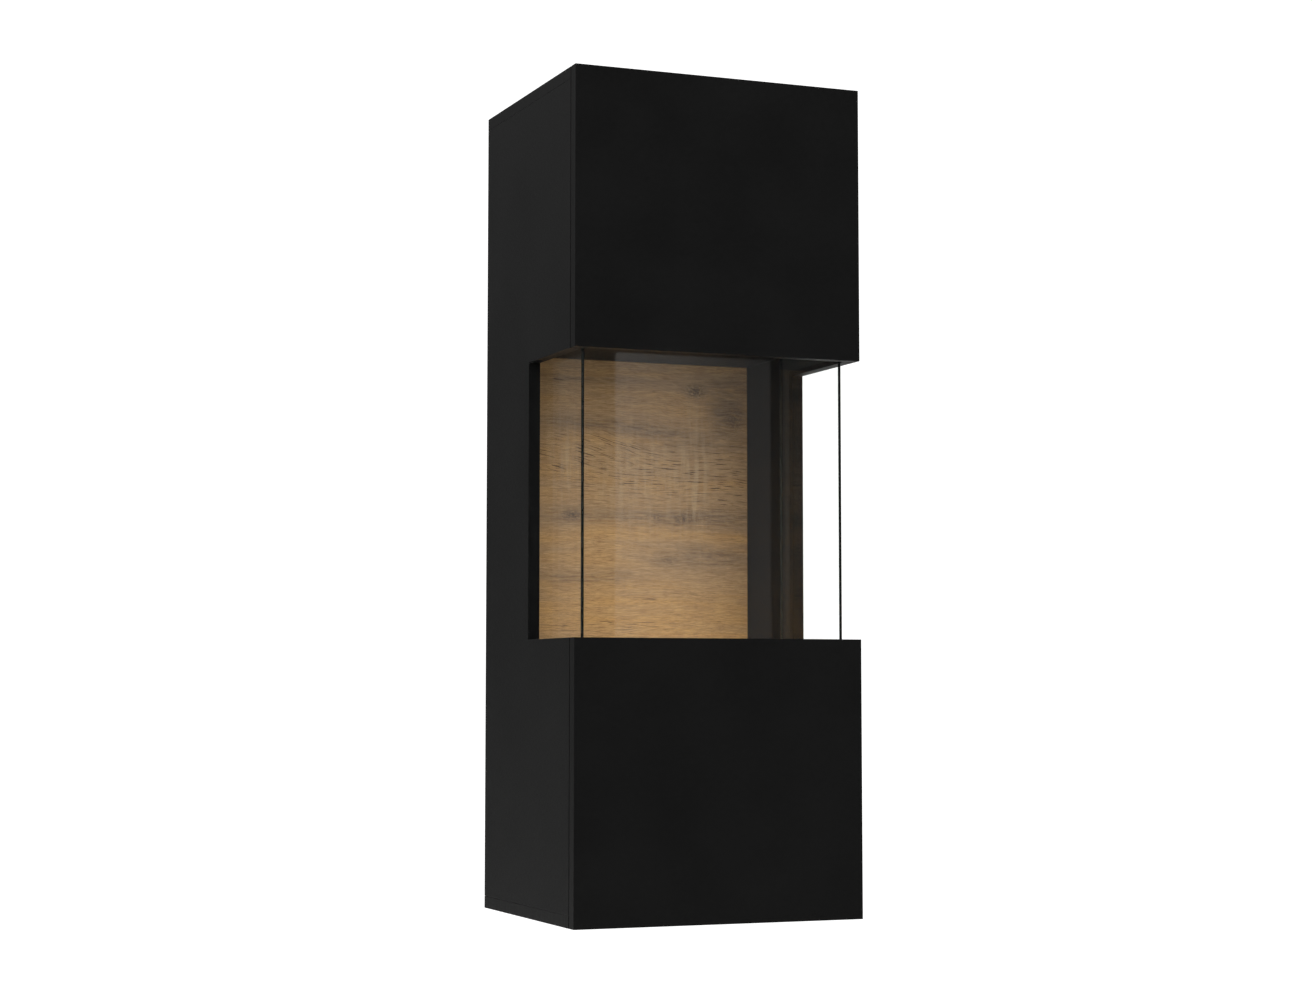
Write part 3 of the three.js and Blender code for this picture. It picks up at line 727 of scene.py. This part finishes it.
def hinge_cup(name):
    """The bowl, its screwed wings and the pin that the link turns on."""
    node = f"{name}_cup"
    low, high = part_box(node)
    x = (low.x + high.x) / 2
    z = (low.z + high.z) / 2
    outer = (high.x - low.x) / 2
    door_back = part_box("door_upper_panel")[1].y
    wall = 1.0 * MM
    fold = 2.5 * MM  # radius where the bowl's wall meets its floor
    depth = door_back + 0.9 * wall - low.y  # the rim stays just under the wings' faces
    steps = [math.radians(a) for a in (0, 30, 60, 90)]
    outside = [(outer - fold + fold * math.sin(a), fold - fold * math.cos(a)) for a in steps]
    inside = [(r - wall, h + wall) for r, h in reversed(outside)]
    rim = [(outer, depth), (outer - wall, depth)]
    profile = [(0, 0), *outside, *rim, *inside, (0, wall)]
    bowl = placed(turned(profile, sides=64), (x, low.y, 0), (0, 1, 0))

    half_width = 9 * MM
    screw_hole = 2.2 * MM
    before = high.y - 3 * MM  # the cutters run past both faces of the wings
    behind = high.y + MM
    wings = solid_box((x - half_width, high.y - wall, low.z - z), (x + half_width, high.y, high.z - z))
    corners = [e for e in wings.edges if abs((e.verts[0].co - e.verts[1].co).normalized().y) > 0.9]
    bmesh.ops.bevel(wings, geom=corners, offset=7 * MM, segments=8, profile=0.5, affect="EDGES")
    screw_z = (-WING_SCREW, WING_SCREW)
    holes = [rod(screw_hole, (x, before, s), (x, behind, s)) for s in screw_z]
    mouth = rod(outer - wall / 2, (x, before, 0), (x, behind, 0), sides=64)
    wings = cut(wings, mouth, *holes)

    pivot = joint_place("door_swing").xy
    reach = half_chord(outer - 0.3 * MM, pivot.x + PIN - x)
    pin = rod(PIN, (*pivot, -reach), (*pivot, reach), sides=24)
    bm = joined(bowl, wings, pin)
    round_edges(bm, 0.2 * MM, sharper_than=50)
    add_piece(f"{node}_pressed", lifted(bm, z), "nickel_steel", "door", [node])
    for end, s in zip(("low", "high"), screw_z):
        place = (x, high.y, z + s)
        screw(f"{node}_{end}_screw", place, (0, 1, 0), "door", head=3.7 * MM, rise=1.6 * MM)


def half_chord(radius, offset):
    """Half the length of a circle's chord at that offset from its middle."""
    return math.sqrt(radius**2 - offset**2)


def hinge_arm(name):
    """The folded channel, whose cheeks run forward to the pin that holds the link."""
    node = f"{name}_arm"
    low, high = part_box(node)
    z = (low.z + high.z) / 2
    low.z -= z
    high.z -= z
    sheet = 1.5 * MM
    nose = 4 * MM  # radius of the cheeks around the pin
    pin_inset = 8 * MM
    pivot = (low.x + pin_inset, low.y + nose)
    start = pivot[1] + 3 * MM  # where the channel begins
    outer = solid_box((low.x, start, low.z), high)
    folds = [
        e
        for e in outer.edges
        if all(abs(v.co.x - low.x) < sheet / 10 for v in e.verts)
        and abs((e.verts[0].co - e.verts[1].co).normalized().y) > 0.9
    ]
    bmesh.ops.bevel(outer, geom=folds, offset=1.4 * MM, segments=5, profile=0.5, affect="EDGES")
    hollow_low = (low.x + sheet, low.y - sheet, low.z + sheet)
    hollow_high = (high.x + sheet, high.y + sheet, high.z - sheet)
    hollow = solid_box(hollow_low, hollow_high)
    adjuster_hole = 2.6 * MM
    adjusters_y = [start + 24 * MM, start + 48 * MM]
    holes = [rod(adjuster_hole, (low.x - MM, y, 0), (low.x + 3 * MM, y, 0)) for y in adjusters_y]
    channel = cut(outer, hollow, *holes)
    cheeks = []
    for face in (low.z, high.z - sheet):
        cheeks.append(rod(nose, (*pivot, face), (*pivot, face + sheet), sides=40))
        corner = (pivot[0] - nose, pivot[1], face)
        cheeks.append(solid_box(corner, (pivot[0] + nose, start + MM, face + sheet)))
    half_sheet = sheet / 2
    pin = rod(PIN, (*pivot, low.z + half_sheet), (*pivot, high.z - half_sheet), sides=24)
    bm = joined(channel, *cheeks, pin)
    round_edges(bm, 0.2 * MM, sharper_than=50)
    add_piece(f"{node}_folded", lifted(bm, z), "nickel_steel", body_of(node), [node])
    for use, y in zip(("side", "depth"), adjusters_y):
        screw(
            f"{node}_{use}_adjuster",
            (low.x + 0.6 * MM, y, z),
            (-1, 0, 0),
            body_of(node),
            head=2.3 * MM,
            rise=0.8 * MM,
            shank=3 * MM,
        )


def hinge_plate(name):
    """The cross-shaped plate on the side panel, with its two screws."""
    node = f"{name}_plate"
    low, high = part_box(node)
    z = (low.z + high.z) / 2
    bm = plain_copy(node)
    round_edges(bm, 0.3 * MM)
    add_piece(f"{node}_cast", bm, "nickel_steel", body_of(node), [node])
    flange = 3 * MM  # thickness of the plate under its screws
    screws_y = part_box("left_side_panel")[0].y + SCREW_ROW
    for end, offset in (("low", -PLATE_SCREW), ("high", PLATE_SCREW)):
        place = (high.x - flange, screws_y, z + offset)
        screw(f"{node}_{end}_screw", place, (-1, 0, 0), body_of(node), head=3.6 * MM, rise=1.6 * MM)


# ---------------------------------------------------------------- latches, bumpers and hangers


def latch(name):
    """A push latch: moulded housing, turned plunger, coil spring and a strike disc on the door."""
    latch_housing(f"{name}_housing")
    latch_plunger(name)
    latch_spring(name)
    latch_strike(f"{name}_strike")


def latch_housing(node):
    low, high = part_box(node)
    z = (low.z + high.z) / 2
    bm = plain_copy(node)
    round_edges(bm, 0.5 * MM)
    add_piece(f"{node}_moulded", bm, "grey_plastic", body_of(node), [node])
    ear = 3 * MM  # thickness of the two ears that are screwed to the side panel
    ear_y = low.y + 34 * MM
    ear_screw = 16 * MM  # from the housing's middle to each screw
    for end, offset in (("low", -ear_screw), ("high", ear_screw)):
        place = (low.x + ear, ear_y, z + offset)
        screw(f"{node}_{end}_screw", place, (1, 0, 0), body_of(node), head=3.2 * MM, rise=1.5 * MM)


def latch_plunger(name):
    """A round-nosed stem and, behind its shoulder, a thinner tail that runs through the spring."""
    node = f"{name}_plunger"
    low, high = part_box(node)
    middle = (low + high) / 2
    stem = (high.x - low.x) / 2
    tail = 2.2 * MM
    length = high.y - low.y
    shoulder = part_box(f"{name}_spring")[0].y - low.y - 0.5 * MM
    profile = [
        (0, 0),
        (stem * 0.55, 0),
        (stem * 0.78, 0.25 * MM),
        (stem * 0.92, 0.9 * MM),
        (stem * 0.96, 2 * MM),
        (stem, 2.5 * MM),
        (stem, shoulder),
        (tail, shoulder),
        (tail, length),
        (0, length),
    ]
    bm = placed(turned(profile), (middle.x, low.y, middle.z), (0, 1, 0))
    add_piece(f"{node}_turned", bm, "grey_plastic", body_of(node), [node])


def latch_strike(node):
    """The disc that the plunger pushes on, screwed to the back of the door."""
    low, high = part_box(node)
    middle = (low + high) / 2
    radius = (high.x - low.x) / 2
    rise = high.y - low.y
    profile = [
        (0, 0),
        (radius, 0),
        (radius, rise * 0.7),
        (radius * 0.94, rise),
        (radius * 0.45, rise),
        (0, rise * 0.6),
    ]
    recess = cross_recess(radius * 0.24, 0.5 * MM, rise * 0.2, 2 * rise)
    bm = placed(cut(turned(profile), *recess), (middle.x, low.y, middle.z), (0, 1, 0))
    add_piece(f"{node}_disc", bm, "zinc_steel", "door", [node])


def latch_spring(name):
    """A helix of round wire with flat end coils. It rides on no body."""
    node = f"{name}_spring"
    low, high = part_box(f"{name}_plunger")  # the coil runs round the plunger's axis
    x = (low.x + high.x) / 2
    z = (low.z + high.z) / 2
    start, end = (corner.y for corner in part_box(node))
    wire = 0.5 * MM  # radius
    radius = 3.6 * MM
    turns = 8
    around = 20  # rings in each turn
    section = 8  # sides of the wire
    along = Vector((0, 1, 0))
    bm = bmesh.new()
    rings = []
    for step in range(turns * around + 1):
        t = step / (turns * around)
        angle = 2 * math.pi * turns * t
        y = start + wire + (end - start - 2 * wire) * t * t * (3 - 2 * t)
        outward = Vector((math.cos(angle), 0, math.sin(angle)))
        middle = Vector((x, y, z)) + outward * radius
        ring = []
        for side in range(section):
            a = 2 * math.pi * side / section
            ring.append(bm.verts.new(middle + wire * (math.cos(a) * outward + math.sin(a) * along)))
        rings.append(ring)
    for ring, following in zip(rings, rings[1:]):
        for i in range(section):
            j = (i + 1) % section
            bm.faces.new((ring[i], ring[j], following[j], following[i]))
    bm.faces.new(rings[0])
    bm.faces.new(list(reversed(rings[-1])))
    coil = add_piece(f"{node}_coil", bm, "zinc_steel", replaced=[node])
    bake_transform(coil)


def bumper(node):
    """A soft stick-on dome."""
    low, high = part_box(node)
    middle = (low + high) / 2
    radius = (high.x - low.x) / 2
    rise = high.y - low.y
    arc = [math.radians(a) for a in (8, 25, 45, 65, 80)]
    foot = 0.3  # share of the height that is the bumper's upright foot
    dome = [(radius * 0.98 * math.cos(a), rise * (foot + (1 - foot) * math.sin(a))) for a in arc]
    profile = [(0, 0), (radius, 0), *dome, (0, rise)]
    bm = placed(turned(profile), (middle.x, low.y, middle.z), (0, 1, 0))
    add_piece(f"{node}_dome", bm, "clear_rubber", "door", [node])


def hanger(side):
    """A cabinet hanger: moulded housing, folded hook, and its two adjusting screws."""
    housing = f"{side}_hanger_housing"
    bm = plain_copy(housing)
    round_edges(bm, 0.6 * MM)
    add_piece(f"{housing}_moulded", bm, "grey_plastic", body_of(housing), [housing])
    hook = f"{side}_hanger_hook"
    bm = plain_copy(hook)
    round_edges(bm, 0.3 * MM)
    add_piece(f"{hook}_folded", bm, "zinc_steel", body_of(hook), [hook])
    for use in ("clamp", "height"):
        node = f"{side}_hanger_{use}_screw"
        low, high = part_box(node)
        middle = (low + high) / 2
        head = (high.x - low.x) / 2
        rise = 2 * MM
        place = (middle.x, low.y + rise, middle.z)
        shank = high.y - low.y - rise
        screw(f"{node}_head", place, (0, -1, 0), body_of(node), head, rise, shank, replaced=[node])


def rail():
    """The cabinet's rail, rolled from sheet, with its long edges eased."""
    bm = plain_copy("wall_rail")
    round_edges(bm, 0.2 * MM)
    add_piece("wall_rail_rolled", bm, "zinc_steel", body_of("wall_rail"), ["wall_rail"])


def back():
    """The hardboard back, cut square."""
    bm = plain_copy("back_board")
    add_piece("back_board_sheet", bm, "hardboard", body_of("back_board"), ["back_board"])


def cam_caps():
    """Plastic caps over the fittings that hold the boards together, on the hidden inner faces."""
    radius = 8.5 * MM
    rise = 1.0 * MM
    from_end = 34 * MM  # from the end of a board to its fittings
    rows = (0.28, 0.7)  # how far forward the fittings are, as shares of the depth
    profile = [
        (0, 0),
        (radius, 0),
        (radius, rise * 0.35),
        (radius * 0.93, rise * 0.8),
        (radius * 0.8, rise),
        (radius * 0.2, rise),
        (radius * 0.12, rise * 0.6),
        (0, rise * 0.6),
    ]
    low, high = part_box("left_side_panel")
    places = []
    for share in rows:
        y = high.y + (low.y - high.y) * share
        for z in (low.z + from_end, high.z - from_end):
            places.append(((high.x, y, z), (1, 0, 0)))
            places.append(((-high.x, y, z), (-1, 0, 0)))
        for x in (high.x + from_end, -high.x - from_end):
            places.append(((x, y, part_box("upper_divider")[1].z), (0, 0, 1)))
            places.append(((x, y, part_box("lower_divider")[0].z), (0, 0, -1)))
    for number, (place, towards) in enumerate(places, 1):
        bm = placed(turned(profile, sides=40), place, towards)
        add_piece(f"fitting_cap_{number}", bm, "grey_plastic", "carcass")


def tapes():
    """The bonding tapes keep their CAD shape and get a foam finish."""
    for node in frame["nodes"].values():
        if node.name.endswith("_tape"):
            node.data.materials.clear()
            node.data.materials.append(FINISH["bonding_tape"][0])


# ---------------------------------------------------------------- floor, light and camera


def stage_mesh(name, points, faces, material):
    """A mesh of the studio, which isn't part of the object."""
    mesh = bpy.data.meshes.new(name)
    mesh.from_pydata(points, [], faces)
    mesh.materials.append(material)
    item = bpy.data.objects.new(name, mesh)
    bpy.context.scene.collection.objects.link(item)
    return item


def floor():
    """A pale floor well below the cabinet, fading to white towards its rim."""
    drop = 1.18  # from the cabinet's bottom to the floor
    height = cad_box[0][Z] - drop
    radius = 9.4
    fade_start = 2.6
    fade_end = 6.0
    sides = 96
    m = Material("floor_white")
    matt = m.add("BsdfPrincipled", {"Base Color": rgb(226, 226, 224), "Roughness": 0.8})
    glow = m.add("Emission", {"Color": (1, 1, 1, 1), "Strength": WHITE})
    reach = m.add("VectorMath", {0: m.place()}, operation="LENGTH").outputs["Value"]
    seen = m.add("LightPath", {}).outputs["Is Camera Ray"]
    fade = m.math("MULTIPLY", m.range(reach, fade_start, fade_end), seen)
    mix = m.add("MixShader", {0: fade, 1: matt.outputs[0], 2: glow.outputs[0]})
    m.tree.links.new(mix.outputs[0], m.output.inputs["Surface"])
    angles = [2 * math.pi * i / sides for i in range(sides)]
    rim = [(radius * math.cos(a), radius * math.sin(a), height) for a in angles]
    stage_mesh("floor", rim, [list(range(sides))], m.result)


def world():
    """White to the camera. What the object mirrors is dim near the horizon in front and behind, so
    that the glass stays clear. It is brighter high up and low down, most of all to the left, and at
    both ends of X, so that the boards' satin sides show."""
    w = bpy.data.worlds.new("studio")
    bpy.context.scene.world = w
    w.use_nodes = True
    sky = Material("studio_nodes")
    bpy.data.materials.remove(sky.result)
    sky.tree = w.node_tree
    sky.tree.nodes.clear()
    output = sky.tree.nodes.new("ShaderNodeOutputWorld")
    direction = sky.add("TexCoord", {}).outputs["Generated"]
    split = sky.add("SeparateXYZ", {0: direction}).outputs
    steep = sky.range(sky.math("ABSOLUTE", split[Z]), 0.22, 0.6)
    leftness = sky.range(split[X], 0.2, -0.8, to_low=0.1, to_high=2.3)
    ends = sky.range(sky.math("ABSOLUTE", split[X]), 0.6, 0.95, to_low=0.08, to_high=1.1)
    strength = sky.math("MULTIPLY_ADD", steep, leftness, ends)
    studio = sky.add("Background", {"Color": (1, 1, 1, 1), "Strength": strength})
    white = sky.add("Background", {"Color": (1, 1, 1, 1), "Strength": WHITE})
    seen = sky.add("LightPath", {}).outputs["Is Camera Ray"]
    mix = sky.add("MixShader", {0: seen, 1: studio.outputs[0], 2: white.outputs[0]})
    sky.tree.links.new(mix.outputs[0], output.inputs[0])


def aim(item, target):
    direction = Vector(target) - item.location
    item.rotation_euler = direction.to_track_quat("-Z", "Y").to_euler()


def softbox(name, place, target, width, height, radiance, mirrored=False):
    """A rectangular area light as bright as a diffuser of that radiance. Gloss shows it if mirrored."""
    light = bpy.data.lights.new(name, "AREA")
    light.shape = "RECTANGLE"
    light.size = width
    light.size_y = height
    light.energy = radiance * math.pi * width * height
    lamp = bpy.data.objects.new(name, light)
    bpy.context.scene.collection.objects.link(lamp)
    lamp.location = place
    lamp.visible_camera = False
    lamp.visible_glossy = mirrored
    aim(lamp, target)


def lights():
    """Broad soft light, most of it from above and in front, so that the niche is brightest low down."""
    middle = (0, -0.17, -0.4)
    softbox("light_front", (0, -3.0, 1.75), (0, 0, 1.75), width=6.0, height=4.5, radiance=2.6)
    softbox("light_left", (-3.0, -0.2, 0.4), middle, width=2.4, height=3.0, radiance=4.0)
    softbox("light_right", (3.0, -0.4, 0.4), middle, width=2.4, height=3.0, radiance=0.7)
    softbox("light_back", (0, 3.0, 0.8), (0, 0, -0.4), width=3.0, height=3.0, radiance=1.0)
    softbox("light_top", (0, -0.6, 2.8), (0, -0.2, 0), width=2.4, height=2.4, radiance=1.6, mirrored=True)


def reflection_card(name, corners, low, high, along, fade):
    """An upright dim card that only mirrors show. It runs between two corners seen from above, and
    its brightness changes along one axis between the two values of fade."""
    m = Material(f"{name}_glow")
    ends = sorted(corner[along] for corner in corners)
    strength = m.range(m.axis(along), ends[0], ends[1], *fade)
    glow = m.add("Emission", {"Color": (1, 1, 1, 1), "Strength": strength})
    m.tree.links.new(glow.outputs[0], m.output.inputs["Surface"])
    points = [(*corners[0], low), (*corners[1], low), (*corners[1], high), (*corners[0], high)]
    card = stage_mesh(name, points, [(0, 1, 2, 3)], m.result)
    card.visible_camera = False
    card.visible_diffuse = False
    card.visible_shadow = False


def reflection_cards():
    """The pale upright bands that the door's pane and the left side pane mirror to the camera."""
    in_front = [(0.704, -2.5), (1.078, -2.5)]
    to_the_left = [(-1.0, 1.7), (-1.0, 2.07)]
    reflection_card("card_right", in_front, low=-1.2, high=0.6, along=X, fade=(0.8, 0.36))
    reflection_card("card_left", to_the_left, low=-1.1, high=0.5, along=Y, fade=(0.26, 0.26))


def camera():
    """Left of the door and a little below the middle, looking slightly up. Lens, place and angles
    were fitted so that the cabinet's corners land where the photo has them."""
    data = bpy.data.cameras.new("camera")
    data.lens = 69.88
    data.sensor_width = 36
    eye = bpy.data.objects.new("camera", data)
    bpy.context.scene.collection.objects.link(eye)
    eye.location = (-1.3051, -3.3365, -0.7213)
    to_the_right = math.radians(22.144)
    upwards = math.radians(4.401)
    eye.rotation_euler = Euler((math.pi / 2 + upwards, 0, -to_the_right), "XYZ")
    bpy.context.scene.camera = eye


# ---------------------------------------------------------------- the whole scene

boards()
back()
panes()
for name in HINGES:
    hinge(name)
for name in LATCHES:
    latch(name)
for number in range(1, BUMPERS + 1):
    bumper(f"door_bumper_{number}")
for side in SIDES:
    hanger(side)
rail()
cam_caps()
tapes()
floor()
world()
lights()
reflection_cards()
camera()
bpy.context.scene.view_settings.view_transform = "Standard"
